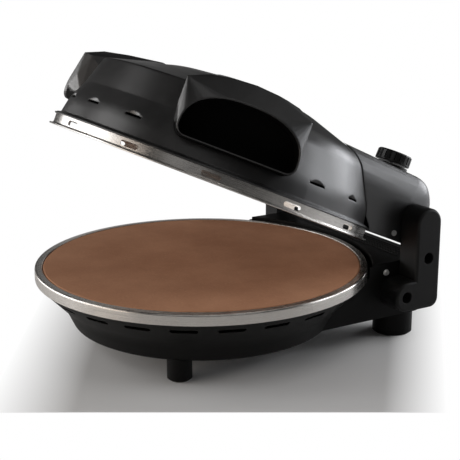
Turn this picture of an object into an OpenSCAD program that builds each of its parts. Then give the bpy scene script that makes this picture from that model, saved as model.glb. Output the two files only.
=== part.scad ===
// Countertop pizza oven: a round base with a baking stone, and a domed lid on a rear hinge.
// Millimetres. Z is up, the floor is z = 0, and the baking stone is centred on the Z axis.
// The front faces -Y and the hinge is at +Y. The lid is drawn partly open.

/* [Baking stone] */
// Diameter of the baking stone
stone_d = 330; // [322:1:338]
// Thickness of the baking stone
stone_h = 12; // [9:0.5:13]
// Height of the stone's top above the floor
stone_top_z = 83; // [81:0.5:88]
// Chamfer along the stone's edges
stone_chamfer = 1.2; // [0.5:0.1:2]

/* [Base ring] */
// Width of the ring's flat flange
ring_flange_w = 7.8; // [6.5:0.1:9]
// Height of the ring's outer band
ring_band_h = 11; // [10:0.5:12.5]
// Thickness of the steel sheet
sheet_t = 0.8; // [0.6:0.1:1]
// Gap between the stone and the ring
stone_gap = 0.6; // [0.4:0.1:1]

/* [Base bowl] */
// Wall of the moulded housings
wall_t = 2.6; // [2.2:0.1:3]
// Height of the bowl's underside above the floor
bowl_clearance = 17.5; // [15:0.5:20]
// Radius of the bowl's flat underside
bowl_floor_r = 115; // [110:1:120]
// Radius of the bowl at its lower bend
bowl_bend_r = 135.5; // [133:0.5:139]
// Height of the lower bend above the floor
bowl_bend_z = 23.5; // [22:0.5:27]
// Radius that rounds the lower bend
bowl_bend_round = 5; // [3:1:9]
// How far the bowl's waist lies inside the line from its rim to its lower bend
bowl_waist_in = 5.9; // [3:0.1:8]
// Height of the waist above the floor
bowl_waist_z = 43; // [41:0.5:46]
// Angle between the vent slots round the bowl
bowl_slot_pitch = 15.6; // [15:0.1:18]
// Length of a bowl slot
bowl_slot_w = 26; // [20:1:28]
// Height of a bowl slot
bowl_slot_h = 4.4; // [3:0.2:5.5]
// Depth of the slots below the stone's top
bowl_slot_drop = 20; // [18:0.5:21]

/* [Rear block] */
// Distance from the ring to the back of the rear block
block_depth = 36; // [34:1:40]
// Height of the rear block's underside above the floor
block_floor_z = 26; // [24:1:29]
// Rise of the rear deck above the stone's top
deck_rise = 2.5; // [1:0.5:3]
// Width of the gutter between the ring and the deck
gutter_w = 4.5; // [3.5:0.5:6]
// Number of ribs across the rear deck
deck_ribs = 5; // [3:1:6]
// Radius of the block's rear corners
block_corner_r = 16; // [10:1:20]

/* [Hinge] */
// Distance from the ring's edge back to the hinge axis
hinge_setback = 15.8; // [15:0.2:17]
// Height of the hinge axis above the stone's top
hinge_rise = 24; // [23:0.5:26]
// How far the lid stands open in the drawing
lid_open = 24.2; // [10:0.1:40]
// Width of each hinge arm
arm_w = 27; // [24:1:30]
// Depth of each hinge arm from front to back
arm_d = 31; // [29:0.5:33]
// Distance between the two hinge arms
arm_span = 232; // [228:1:236]
// Height of an arm's top above the stone's top
arm_rise = 61; // [56:1:66]
// Height of an arm's lower edge above the floor
arm_floor_z = 38; // [35:1:42]
// Reach of an arm's foot in front of its upright
arm_foot_reach = 24.5; // [23:0.5:28]
// Height of an arm's foot
arm_foot_h = 32; // [28:1:34]
// Diameter of the hinge pins
pin_d = 10; // [8:0.5:12]
// Radial running clearance of the hinge pins
pin_clearance = 0.06; // [0.04:0.01:0.08]
// Outside diameter of the hinge bushes
bush_d = 15; // [14:0.5:17]
// Gap between the lid and each arm
lid_side_gap = 1.6; // [1.2:0.1:2]

/* [Lid ring] */
// Gap between the closed lid and the stone's top
lid_gap = 3; // [2:0.5:4]
// How far the lid's rolled flange stops inside the base ring's edge
lid_flange_inset = 0.8; // [0.4:0.1:1.6]
// Width of the rolled flange outside the band
lid_flange_w = 3.6; // [3:0.1:4.4]
// Height of the lid's steel band
lid_band_h = 11.5; // [10:0.5:13]
// Number of slots round the band
band_slots = 13; // [8:1:16]
// Turn of the row of band slots round the lid
band_slot_turn = 2.6; // [-14:0.2:14]
// Length of a band slot
band_slot_w = 19; // [12:1:22]
// Height of a band slot
band_slot_h = 5; // [3.5:0.5:6]

/* [Lid cover] */
// How far the brim stands out from the band
brim_out = 2; // [1:0.2:3]
// Thickness of the brim
brim_h = 2.6; // [2:0.2:3.4]
// Step in from the brim to the foot of the dome
brim_step = 5.5; // [4.5:0.5:7]
// Height of the dome above the stone's top
dome_h = 113; // [110:1:118]
// Height of the dome's shoulder above the stone's top
shoulder_h = 76; // [74:0.5:80]
// Step in from the foot of the dome to its shoulder
shoulder_in = 25; // [23:1:28]
// Step in from the foot of the dome to the edge of its crown
crown_in = 91; // [84:1:98]
// Drop from the dome's top to the edge of its crown
crown_drop = 10.5; // [9:0.5:12]
// Radius that rounds the shoulder
shoulder_round = 34; // [26:1:38]
// Height of the front crease above the stone's top
crease_h = 83; // [80:0.5:86]
// Step in from the foot of the dome to the front crease
crease_in = 22; // [20:1:25]
// Half of the angle that the creased front face spans
crease_half_angle = 44; // [40:1:50]

/* [Hood handles] */
// Direction of each hood, measured from the front
hood_angle = 62.2; // [58:0.2:66]
// How far a hood's mouth stands out from the foot of the dome
hood_out = 6.5; // [5:0.5:8]
// Width of the hand opening
mouth_w = 111; // [104:1:116]
// Height of the hand opening
mouth_h = 44; // [40:1:46]
// Height of the hand opening's sill above the stone's top
mouth_sill_h = 34.5; // [33:0.5:38]
// Radius of the hand opening's lower corners
mouth_corner_r = 8; // [5:0.5:12]
// Depth of the hand pocket
pocket_d = 34; // [28:1:36]
// Wall of the hand pocket
pocket_wall = 2; // [1.6:0.1:2.4]
// Set-back of the pocket's lip behind the mouth
pocket_setback = 4; // [2:0.5:6]
// Half width of the hood over the hand opening, on its front side
hood_front_half = 62; // [60:0.5:63]
// Half width of the hood over the hand opening, on its rear side
hood_rear_half = 57.5; // [57:0.5:63]
// Set-back of the hood's peaks behind its mouth
peak_back = 13; // [11:0.5:15]
// Set-back of the hood's ridge behind its mouth
ridge_back = 22; // [19:0.5:25]
// Height of the hood's brow above the stone's top
brow_h = 96.5; // [94:0.5:98]

/* [Lid vents] */
// Direction of the middle front vent, measured from the front
vent_first = 5.5; // [4:0.5:8]
// Angle between neighbouring vents
vent_pitch = 20.5; // [18:0.5:21]
// Direction of the first vent behind a hood
vent_rear = 94; // [92:0.5:98]
// Angle between the two vents behind a hood
vent_rear_pitch = 21.4; // [18:0.2:24]
// Length of a lid vent's scoop
vent_w = 21; // [17:1:24]
// Depth of a lid vent's scoop
vent_depth = 3; // [2:0.2:3.6]
// Height of the vents above the stone's top
vent_h = 35; // [32:0.5:38]
// Length of the slot under each scoop
vent_slot_w = 19; // [10:1:20]
// Height of the slot under each scoop
vent_slot_h = 2; // [1.6:0.2:3]

/* [Rear housing of the lid] */
// Distance from the hinge axis to the housing's back
rear_back = 18; // [17:0.5:19]
// Height of the housing's top above the stone's top
rear_top_h = 84.5; // [83:0.5:87]
// Height of the closed housing's underside above the stone's top
rear_floor_h = 14; // [13:0.5:16]
// Radius of the housing's upper rear corner
rear_top_round = 28; // [22:1:32]
// Radius of the housing's lower rear corner
rear_floor_round = 16; // [15:0.5:17]
// Radius that rounds the housing's upright edges
rear_edge_round = 18; // [12:1:22]
// Height over which the housing's sides curve in to its top
rear_side_fall = 36; // [24:1:38]

/* [Control knob] */
// Diameter of the knob
knob_d = 38; // [33:1:40]
// Height of the knob
knob_h = 12; // [10:0.5:14]
// Distance of the knob from the rear housing's side
knob_side = 52.4; // [48:0.2:58]
// Distance of the knob in front of the hinge axis
knob_front = 19; // [17:1:22]
// Number of grip ribs on the knob
knob_ribs = 22; // [16:1:28]
// Gap under the knob
knob_lift = 1.7; // [1:0.1:2]
// Diameter of the collar under the knob
collar_d = 36; // [30:1:38]
// Height of the collar
collar_h = 5.2; // [3:0.1:6]
// Diameter of the knob's spindle
spindle_d = 6; // [5:0.5:7]

/* [Feet] */
// Diameter of the front feet
front_foot_d = 24.5; // [22:0.5:28]
// Diameter of the rear feet
rear_foot_d = 42; // [36:1:42]
// Distance of every foot from the middle plane
foot_x = 95; // [90:1:95]
// Distance of the front feet in front of the stone's centre
front_foot_y = 79; // [74:1:84]
// Height of the rubber pads below the feet
pad_h = 2; // [1.5:0.5:3]

/* [Heating elements] */
// Diameter of the heating tubes
tube_d = 6.6; // [6:0.2:8]
// Radius of the outer loop
loop_r = 122; // [112:1:130]
// Radius of the inner loop
inner_loop_r = 66; // [58:1:76]
// Depth of the lower tube below the stone
lower_tube_drop = 15; // [13:0.5:17]
// Height of the upper tube above the stone's top, lid closed
upper_tube_h = 24; // [22:0.5:25]

/* [Hidden] */
$fn = 96;

// Radii of the base, from the stone outwards
stone_r = stone_d / 2;
ring_in_r = stone_r + stone_gap;
ring_r = ring_in_r + ring_flange_w;
fit_gap = 0.3;
rim_r = ring_r - sheet_t - fit_gap;
// How far the bowl's top stands inside the ring's outer face
rim_step = 1;
gutter_r = ring_r + gutter_w;

// Places of the rear block and of the hinge
hinge_y = ring_r + hinge_setback;
hinge_z = stone_top_z + hinge_rise;
block_back = ring_r + block_depth;
block_half = arm_span / 2;
deck_t = wall_t;

// Radii of the lid, measured with the lid closed
lid_flange_r = ring_r - lid_flange_inset;
lid_band_r = lid_flange_r - lid_flange_w;
brim_r = lid_band_r + brim_out;
dome_foot_r = brim_r - brim_step;
band_top = lid_gap + lid_band_h;
brim_top = band_top + brim_h;
rear_half = arm_span / 2 - lid_side_gap;
rear_y = hinge_y + rear_back;
knob_x = rear_half - knob_side;

// ---------- helpers ----------

// Unit vector from a to b
function towards(a, b) = (b - a) / norm(b - a);

// Outline with rounded corners. Each corner is [x, y, radius].
function rounded(corners, steps = 6) = [
    for (i = [0 : len(corners) - 1])
        let (
            n = len(corners),
            c = [corners[i][0], corners[i][1]],
            before = [corners[(i + n - 1) % n][0], corners[(i + n - 1) % n][1]],
            after = [corners[(i + 1) % n][0], corners[(i + 1) % n][1]],
            r = corners[i][2]
        )
        for (p = r <= 0 ? [c] : corner_arc(c, towards(c, before), towards(c, after), r, steps)) p
];

// Points of the arc that rounds one corner
function corner_arc(c, u, v, r, steps) =
    let (
        half = acos(u * v) / 2,
        centre = c + (u + v) / norm(u + v) * r / sin(half),
        start = c + u * r / tan(half) - centre,
        end = c + v * r / tan(half) - centre,
        a0 = atan2(start[1], start[0]),
        turn = atan2(start[0] * end[1] - start[1] * end[0], start * end)
    )
    [for (k = [0 : steps]) centre + r * [cos(a0 + turn * k / steps), sin(a0 + turn * k / steps)]];

// Arched outline with its lower corners rounded, over a sill at height low.
// A higher power squares the arch's shoulders.
function arch(half_w, h, low, corner_r, power = 2.45, steps = 24, corner_steps = 5) = concat(
    [
        for (k = [0 : steps])
            let (a = 180 * k / steps, c = cos(a), s = sin(a))
            [
                half_w * sign(c) * pow(abs(c), 2 / power),
                low + corner_r + (h - corner_r) * pow(abs(s), 2 / power)
            ]
    ],
    [
        for (k = [1 : corner_steps])
            let (a = 90 * k / corner_steps)
            [corner_r - half_w - corner_r * cos(a), low + corner_r - corner_r * sin(a)]
    ],
    [
        for (k = [0 : corner_steps - 1])
            let (a = 90 * k / corner_steps)
            [half_w - corner_r + corner_r * sin(a), low + corner_r - corner_r * cos(a)]
    ]
);

// Rounded slot, centred, long side along X
module slot_outline(w, h) {
    hull_len = max(w - h, 0.1);
    square([hull_len, h], center = true);
    for (side = [-1, 1])
        translate([side * hull_len / 2, 0])
            circle(d = h, $fn = 32);
}

// Stands children up so that they are drilled through a round wall towards direction a
module through_wall(a, r, z, depth) {
    rotate([0, 0, a])
        translate([0, -r, z])
            rotate([90, 0, 0])
                linear_extrude(height = depth, center = true)
                    children();
}

// Carries the closed lid's parts to the pose in which the lid is drawn
module lid_pose() {
    translate([0, hinge_y, hinge_z])
        rotate([-lid_open, 0, 0])
            translate([0, -hinge_y, -hinge_rise])
                children();
}

// Copies children to both sides of the middle plane
module both_sides() {
    children();
    mirror([1, 0, 0]) children();
}

// Bar along X between two places
module bar_x(x0, x1, y, z, d) {
    translate([min(x0, x1), y, z])
        rotate([0, 90, 0])
            cylinder(d = d, h = abs(x1 - x0));
}

// ---------- base ----------

// Heights of the bowl, measured from the stone's top
bowl_floor = bowl_clearance - stone_top_z;
bowl_bend = bowl_bend_z - stone_top_z;
bowl_top = -ring_band_h - fit_gap;
ledge_z = -stone_h - sheet_t;
ledge_t = 2;
ledge_in = 8;
bowl_waist = bowl_waist_z - stone_top_z;
bowl_rim_top = -sheet_t - fit_gap;
bowl_rim_r = ring_r - rim_step;
rim_line = (bowl_rim_r - bowl_bend_r) / (bowl_top - bowl_bend);
bowl_waist_r = bowl_bend_r + rim_line * (bowl_waist - bowl_bend) - bowl_waist_in;

// Outer outline of the bowl, drawn as radius and height
function bowl_outline(inset) = rounded([
    [0, bowl_floor + inset, 0],
    [bowl_floor_r, bowl_floor + inset, 14],
    [bowl_bend_r - inset, bowl_bend + inset * 0.4, bowl_bend_round],
    [bowl_waist_r - inset, bowl_waist + inset * 0.4, 40],
    [bowl_rim_r - inset, bowl_top, 0],
    [0, bowl_top, 0]
]);

module bowl_solid(inset = 0) {
    rotate_extrude($fn = 128)
        polygon(bowl_outline(inset));
}

// Side view of the rear block, looking along X
module block_side(inset) {
    low = block_floor_z - stone_top_z + inset;
    polygon(rounded([
        [60, low, 0],
        [block_back - inset, low, 14 - inset],
        [block_back - inset, deck_rise - deck_t, 0],
        [60, deck_rise - deck_t, 0]
    ]));
}

// Plan of the rear block
module block_plan(inset, front = 60) {
    polygon(rounded([
        [-block_half + inset, front, 0],
        [block_half - inset, front, 0],
        [block_half - inset, block_back - inset, block_corner_r - inset],
        [-block_half + inset, block_back - inset, block_corner_r - inset]
    ]));
}

module block_solid(inset = 0) {
    intersection() {
        rotate([90, 0, 90])
            linear_extrude(height = arm_span, center = true)
                block_side(inset);
        translate([0, 0, -stone_top_z])
            linear_extrude(height = 2 * stone_top_z)
                block_plan(inset);
    }
}

// Everything inside the ring's outer band
module ring_well() {
    translate([0, 0, bowl_top])
        cylinder(r = gutter_r - wall_t, h = stone_top_z, $fn = 128);
}

// Cord outlet in the rear wall, and the screws of the hinge arms
gland_z = 52;
gland_x = -60;
gland_bore_d = 15;
gland_flange_d = 22;
gland_flange_t = 6;
cord_bore_r = 3.6;
arm_back = 3;
arm_screw_y = [hinge_y - arm_back, hinge_y - arm_foot_reach - 5];
arm_screw_z = [stone_top_z + 9, stone_top_z - 29];
screw_hole_d = 4;
floor_vent_w = 30;
floor_vent_h = 3;

module base_housing() {
    color([0.07, 0.07, 0.08])
    translate([0, 0, stone_top_z])
    difference() {
        union() {
            difference() {
                union() {
                    bowl_solid();
                    difference() {
                        block_solid();
                        ring_well();
                    }
                }
                bowl_solid(wall_t);
                difference() {
                    block_solid(wall_t);
                    bowl_solid();
                }
                ring_well_opening();
            }
            // Rim inside the ring's band, with the ledge that carries the pan
            rotate_extrude($fn = 128)
                polygon([
                    [bowl_rim_r - wall_t, bowl_top - 2],
                    [bowl_rim_r, bowl_top - 0.01],
                    [bowl_rim_r, bowl_top],
                    [rim_r, bowl_top],
                    [rim_r, bowl_rim_top],
                    [rim_r - wall_t, bowl_rim_top],
                    [rim_r - wall_t, ledge_z],
                    [rim_r - ledge_in, ledge_z],
                    [rim_r - ledge_in, ledge_z - ledge_t],
                    [rim_r - wall_t - 1, bowl_top - 4]
                ]);
        }
        for (side = [-1, 1])
            for (a = [bowl_slot_pitch / 2 : bowl_slot_pitch : slot_last_angle])
                bowl_slot(side * a);
        gland_hole();
        arm_screw_holes();
        floor_vents();
        element_passage(lower_tube_z);
    }
}

// Opening above the block's floor is closed by the deck; this clears the bowl's mouth
module ring_well_opening() {
    translate([0, 0, bowl_top - 0.01])
        cylinder(r = bowl_rim_r - wall_t, h = stone_top_z, $fn = 128);
}

module bowl_slot(a) {
    through_wall(a, ring_r - 6, -bowl_slot_drop, 24)
        slot_outline(bowl_slot_w, bowl_slot_h);
}

// The slots stop where the rear block begins
slot_last_angle = 180 - asin(block_half / ring_r) - 8;

module gland_hole() {
    translate([gland_x, block_back - wall_t - 1, gland_z - stone_top_z])
        rotate([-90, 0, 0])
            cylinder(d = gland_bore_d, h = wall_t + 2);
}

module arm_screw_holes() {
    for (side = [-1, 1])
        for (k = [0, 1])
            bar_x(side * (block_half - wall_t - 1), side * (block_half + 1),
                arm_screw_y[k], arm_screw_z[k] - stone_top_z, screw_hole_d);
}

module floor_vents() {
    for (k = [-3 : 3])
        translate([0, k * 18, bowl_floor - 1])
            linear_extrude(height = wall_t + 2)
                slot_outline(floor_vent_w * 2, floor_vent_h);
}

lower_tube_z = -stone_h - lower_tube_drop;
terminal_x = 14;

// Two holes through which a heating tube's ends pass to the rear
module element_passage(z) {
    for (side = [-1, 1])
        translate([side * terminal_x, ring_r - 60, z])
            rotate([-90, 0, 0])
                cylinder(d = tube_d + 2.4, h = 70);
}

module base_deck() {
    color([0.06, 0.06, 0.07])
    translate([0, 0, stone_top_z])
    difference() {
        union() {
            translate([0, 0, deck_rise - deck_t])
                linear_extrude(height = deck_t)
                    block_plan(0);
            // Wall of the gutter, standing inside the block
            intersection() {
                difference() {
                    translate([0, 0, bowl_top + fit_gap])
                        cylinder(r = gutter_r + wall_t, h = deck_rise - bowl_top - fit_gap, $fn = 128);
                    cylinder(r = gutter_r, h = 60, center = true, $fn = 128);
                }
                translate([0, 0, -40])
                    linear_extrude(height = 60)
                        block_plan(wall_t + fit_gap);
            }
            for (k = [0 : deck_ribs - 1])
                translate([0, gutter_r + 3 + k * rib_pitch, deck_rise])
                    linear_extrude(height = 0.9)
                        square([arm_span - 2 * block_corner_r, 1.6], center = true);
        }
        translate([0, 0, -40])
            cylinder(r = gutter_r, h = 80, $fn = 128);
    }
}

rib_pitch = (block_back - gutter_r - 8) / 5;

module base_ring() {
    color([0.78, 0.78, 0.8])
    translate([0, 0, stone_top_z])
    rotate_extrude($fn = 128)
        polygon(concat(
            [[ring_in_r, -3.5], [ring_in_r, -0.6], [ring_in_r + 0.6, 0]],
            [for (k = [0 : 4]) [ring_r - 2 + 2 * sin(k * 22.5), -2 + 2 * cos(k * 22.5)]],
            [[ring_r, -ring_band_h], [ring_r - sheet_t, -ring_band_h]],
            [for (k = [4 : -1 : 0]) [ring_r - 2 + (2 - sheet_t) * sin(k * 22.5), -2 + (2 - sheet_t) * cos(k * 22.5)]],
            [[ring_in_r + sheet_t, -sheet_t], [ring_in_r + sheet_t, -3.5]]
        ));
}

module baking_stone() {
    color([0.69, 0.47, 0.35])
    translate([0, 0, stone_top_z])
    rotate_extrude($fn = 128)
        polygon([
            [0, -stone_h],
            [stone_r - stone_chamfer, -stone_h],
            [stone_r, -stone_h + stone_chamfer],
            [stone_r, -stone_chamfer],
            [stone_r - stone_chamfer, 0],
            [0, 0]
        ]);
}

// Pan: its depth below the tube, its room round the tube, and its play inside the rim
pan_drop = 12;
pan_margin = 12.5;
pan_play = 1.8;
pan_floor = lower_tube_z - pan_drop;
pan_wall_r = rim_r - ledge_in - 1;
pan_floor_r = loop_r + pan_margin;
pan_flange_r = rim_r - wall_t - pan_play;

// Steel pan that carries the stone on its flange and reflects the lower element's heat
module stone_pan() {
    color([0.62, 0.62, 0.64])
    translate([0, 0, stone_top_z])
    difference() {
        rotate_extrude($fn = 128)
            polygon([
                [0, pan_floor],
                [pan_floor_r, pan_floor],
                [pan_wall_r, ledge_z],
                [pan_flange_r, ledge_z],
                [pan_flange_r, ledge_z + sheet_t],
                [pan_wall_r - sheet_t * 0.7, ledge_z + sheet_t],
                [pan_floor_r - sheet_t * 0.4, pan_floor + sheet_t],
                [0, pan_floor + sheet_t]
            ]);
        element_passage(lower_tube_z);
    }
}

supply_tube_d = tube_d - 1.2;

// Heating element: an outer and an inner ring on two thinner supply tubes that run to the rear
module heating_tube(end_y) {
    for (r = [loop_r, inner_loop_r])
        rotate_extrude($fn = 96)
            translate([r, 0])
                circle(d = tube_d, $fn = 24);
    for (side = [-1, 1])
        translate([side * terminal_x, inner_loop_r - 2, 0])
            rotate([-90, 0, 0])
                cylinder(d = supply_tube_d, h = end_y - inner_loop_r + 2, $fn = 24);
}

element_end_y = ring_r + 4;

module lower_element() {
    color([0.35, 0.34, 0.33])
    translate([0, 0, stone_top_z + lower_tube_z])
        heating_tube(element_end_y);
}

clip_angles = [35, 145, 215, 325];

// Saddles that carry a heating tube from a plate at height from, measured from the tube's axis
module tube_clips(from) {
    for (a = clip_angles)
        rotate([0, 0, a])
            for (r = [loop_r, inner_loop_r])
                translate([r, 0, 0])
                    difference() {
                        translate([-5, -2, min(from, 1)])
                            cube([10, 4, abs(from) + 1]);
                        rotate([90, 0, 0])
                            cylinder(d = tube_d + 0.1, h = 10, center = true, $fn = 32);
                    }
}

module lower_element_clips() {
    color([0.75, 0.75, 0.76])
    translate([0, 0, stone_top_z + lower_tube_z])
        tube_clips(pan_floor + sheet_t - lower_tube_z);
}

terminal_w = 52;
terminal_d = 16;
terminal_top = lower_tube_z + 9;

module terminal_block() {
    color([0.85, 0.83, 0.78])
    translate([0, element_end_y, stone_top_z])
        difference() {
            translate([-terminal_w / 2, 0, block_floor_z - stone_top_z + wall_t])
                cube([terminal_w, terminal_d, terminal_top - (block_floor_z - stone_top_z + wall_t)]);
            for (x = [-18 : 12 : 18])
                translate([x, terminal_d / 2, terminal_top - 7])
                    cylinder(d = 5, h = 10, $fn = 24);
        }
}

module cord_gland() {
    color([0.08, 0.08, 0.08])
    translate([gland_x, block_back, gland_z])
        rotate([90, 0, 0])
            rotate_extrude()
                polygon([
                    [cord_bore_r, -gland_flange_t],
                    [gland_flange_d / 2 - 1.5, -gland_flange_t],
                    [gland_flange_d / 2, 1.5 - gland_flange_t],
                    [gland_flange_d / 2, 0],
                    [gland_bore_d / 2 - 0.1, 0],
                    [gland_bore_d / 2 - 0.1, wall_t],
                    [gland_bore_d / 2 + 1.4, wall_t + 0.2],
                    [gland_bore_d / 2 - 0.6, wall_t + 6],
                    [cord_bore_r, wall_t + 6]
                ]);
}

arm_top = stone_top_z + arm_rise;
arm_y0 = hinge_y - arm_back - arm_d / 2;
arm_y1 = arm_y0 + arm_d;

// Upright of an arm, seen from its side; all edges drawn in by inset
module arm_upright(inset) {
    polygon(rounded([
        [arm_y0 + inset, arm_floor_z + inset, 8],
        [arm_y1 - inset, arm_floor_z + inset, 10 - inset],
        [arm_y1 - inset, arm_top - inset, arm_d / 2 - inset - 0.1],
        [arm_y0 + inset, arm_top - inset, arm_d / 2 - inset - 0.1]
    ], 10));
}

// Foot of an arm, seen from its side
module arm_foot(inset) {
    top = arm_floor_z + arm_foot_h;
    polygon(rounded([
        [arm_y0 - arm_foot_reach + inset, arm_floor_z + inset, arm_foot_h / 2 - inset - 0.1],
        [arm_y1 - 6 - inset, arm_floor_z + inset, 4],
        [arm_y1 - 6 - inset, top - inset, 4],
        [arm_y0 - arm_foot_reach + inset, top - inset, arm_foot_h / 2 - inset - 0.1]
    ], 10));
}

// Slab of an arm's side view, standing across X
module arm_slab(x, inset, t, foot) {
    translate([x, 0, 0])
        rotate([90, 0, 90])
            linear_extrude(height = t)
                if (foot) arm_foot(inset); else arm_upright(inset);
}

screw_head_d = 8.4;
arm_recess_d = 12;
arm_floor_t = 7;

module hinge_arm() {
    difference() {
        for (foot = [false, true])
            hull() {
                arm_slab(block_half, 0, arm_w - 2.6, foot);
                arm_slab(block_half, 0.7, arm_w - 0.8, foot);
                arm_slab(block_half, 2.4, arm_w, foot);
            }
        for (k = [0, 1]) {
            bar_x(block_half - 1, block_half + arm_w + 1, arm_screw_y[k], arm_screw_z[k], screw_hole_d + 0.4);
            bar_x(block_half + arm_floor_t, block_half + arm_w + 1, arm_screw_y[k], arm_screw_z[k], arm_recess_d);
        }
        bar_x(block_half - 1, block_half + pin_seat, hinge_y, hinge_z, pin_d);
    }
}

pin_seat = 18;

module hinge_arm_right() {
    color([0.09, 0.09, 0.1])
        hinge_arm();
}

module hinge_arm_left() {
    color([0.09, 0.09, 0.1])
        mirror([1, 0, 0]) hinge_arm();
}

// Pan-head screw along X, its head's underside at x
module side_screw(x, y, z, shank) {
    bar_x(x - shank, x, y, z, screw_hole_d - 0.4);
    difference() {
        bar_x(x, x + 3, y, z, screw_head_d);
        for (a = [0, 90])
            translate([x + 3, y, z])
                rotate([a, 0, 0])
                    cube([2.4, 5, 1.1], center = true);
    }
}

module arm_screws() {
    color([0.7, 0.7, 0.72])
        both_sides()
            for (k = [0, 1])
                side_screw(block_half + arm_floor_t, arm_screw_y[k], arm_screw_z[k], arm_floor_t + wall_t + 4);
}

module hinge_pins() {
    color([0.72, 0.72, 0.74])
        both_sides()
            bar_x(rear_half - 22, block_half + pin_seat, hinge_y, hinge_z, pin_d);
}

rear_foot_y = hinge_y - 8;

module front_feet() {
    color([0.06, 0.06, 0.07])
        both_sides()
            difference() {
                translate([foot_x, -front_foot_y, pad_h])
                    cylinder(d = front_foot_d, h = 50);
                translate([0, 0, stone_top_z])
                    bowl_solid();
                translate([foot_x, -front_foot_y, pad_h - 1])
                    cylinder(d = pad_d(front_foot_d) + 0.2, h = 3);
            }
}

function pad_d(d) = d - 5;

module rear_feet() {
    color([0.06, 0.06, 0.07])
        both_sides()
            difference() {
                translate([foot_x, rear_foot_y, pad_h])
                    cylinder(d = rear_foot_d, h = block_floor_z - pad_h + 6);
                translate([0, 0, stone_top_z])
                    block_solid();
                translate([foot_x, rear_foot_y, pad_h - 1])
                    cylinder(d = pad_d(rear_foot_d) + 0.2, h = 3);
            }
}

module foot_pads() {
    color([0.12, 0.12, 0.12])
        both_sides() {
            translate([foot_x, -front_foot_y, 0])
                cylinder(d = pad_d(front_foot_d), h = pad_h + 2);
            translate([foot_x, rear_foot_y, 0])
                cylinder(d = pad_d(rear_foot_d), h = pad_h + 2);
        }
}

// Screws of the deck, seen on the rear block's sides
deck_screw_y = hinge_y - 36;
deck_screw_z = stone_top_z - 8;

module base_screws() {
    color([0.7, 0.7, 0.72])
        both_sides()
            translate([block_half, deck_screw_y, deck_screw_z])
                rotate([0, 90, 0])
                    cylinder(d1 = 7, d2 = 5, h = 2, $fn = 32);
}

// ---------- lid, drawn closed and then carried to its pose ----------

// Outline of the plain dome, drawn as radius and height; inset draws it in by a wall
function dome_outline(inset) = rounded([
    [0, brim_top, 0],
    [dome_foot_r - inset, brim_top, 0],
    [dome_foot_r - 3.5 - inset, (brim_top + shoulder_h) / 2 - 12, 60],
    [dome_foot_r - shoulder_in - inset * 0.8, shoulder_h + 4 - inset, shoulder_round - inset],
    [dome_foot_r - crown_in, dome_h - crown_drop - inset, 120],
    [0, dome_h - inset, 0]
], 8);

module dome_solid(inset = 0) {
    rotate_extrude($fn = 160)
        polygon(dome_outline(inset));
}

// Outline of the creased front face
function crease_outline(inset) = rounded([
    [60, brim_top, 0],
    [dome_foot_r - 1 - inset, brim_top, 0],
    [dome_foot_r - crease_in - inset * 0.9, crease_h - inset * 0.7, inset > 0 ? 2 : 2.4],
    [dome_foot_r - crease_in - 42, crease_h + 12.5 - inset, 0],
    [60, crease_h + 14 - inset, 0]
], 5);

module crease_solid(inset = 0) {
    spread = crease_half_angle - inset * 0.5;
    rotate([0, 0, -90 - spread])
        rotate_extrude(angle = 2 * spread, $fn = 160)
            polygon(crease_outline(inset));
}

hood_face = dome_foot_r + hood_out;
hood_rim = 1.2;
mouth_half = mouth_w / 2;

// Thin slab that stands across a hood's direction at distance w, its outline drawn in u and height
module hood_slab(w) {
    translate([0, -w + 0.5, 0])
        rotate([90, 0, 0])
            linear_extrude(height = 0.5)
                children();
}

// Outline of the hood's edge from its side corners up to its two peaks
hood_peak_h = crease_h + 2;
hood_ridge_h = brow_h + 3;
ridge_half = 43;

// Outline of the hand opening, drawn outwards by grow
function mouth_outline(grow) =
    arch(mouth_half + grow, mouth_h + 2 * grow, mouth_sill_h - grow, mouth_corner_r + grow);

module hood_solid() {
    sill = mouth_sill_h - hood_rim;
    rotate([0, 0, hood_angle])
        hull() {
            // Rim round the hand opening
            hood_slab(hood_face)
                polygon(mouth_outline(hood_rim));
            // The two peaks beside the opening
            hood_slab(hood_face - peak_back)
                polygon([
                    [5 - mouth_half, sill + 3],
                    [mouth_half - 5, sill + 3],
                    [hood_rear_half - 1, sill + 14],
                    [hood_rear_half, sill + 28],
                    [hood_rear_half, hood_peak_h],
                    [-hood_front_half, hood_peak_h],
                    [-hood_front_half, sill + 28],
                    [2.6 - hood_front_half, sill + 14]
                ]);
            // The ridge of the visor above the opening
            hood_slab(hood_face - ridge_back)
                polygon([
                    [2 - hood_front_half, sill + 12],
                    [hood_rear_half - 2, sill + 12],
                    [hood_rear_half - 1, hood_peak_h],
                    [ridge_half, hood_ridge_h - 5.5],
                    [ridge_half / 2, hood_ridge_h - 1.4],
                    [0, hood_ridge_h],
                    [-ridge_half / 2, hood_ridge_h - 1.4],
                    [-ridge_half, hood_ridge_h - 5.5],
                    [1 - hood_front_half, hood_peak_h]
                ]);
            // Where the hood runs out into the dome's crown
            hood_slab(hood_face - ridge_back - 25)
                polygon([
                    [-54, hood_peak_h - 20],
                    [54, hood_peak_h - 20],
                    [50, hood_ridge_h - 9],
                    [34, hood_ridge_h - 0.5],
                    [0, hood_ridge_h + 1.5],
                    [-34, hood_ridge_h - 0.5],
                    [-50, hood_ridge_h - 9]
                ]);
            hood_slab(hood_face - ridge_back - 62)
                polygon([
                    [-26, hood_peak_h],
                    [26, hood_peak_h],
                    [24, hood_ridge_h + 4],
                    [-24, hood_ridge_h + 4]
                ]);
        }
}

// Hand opening of one hood, from the mouth inwards
module mouth_cut(grow, from, depth) {
    rotate([0, 0, hood_angle])
        translate([0, -hood_face + from + depth, 0])
            rotate([90, 0, 0])
                linear_extrude(height = depth)
                    polygon(mouth_outline(grow));
}

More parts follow.
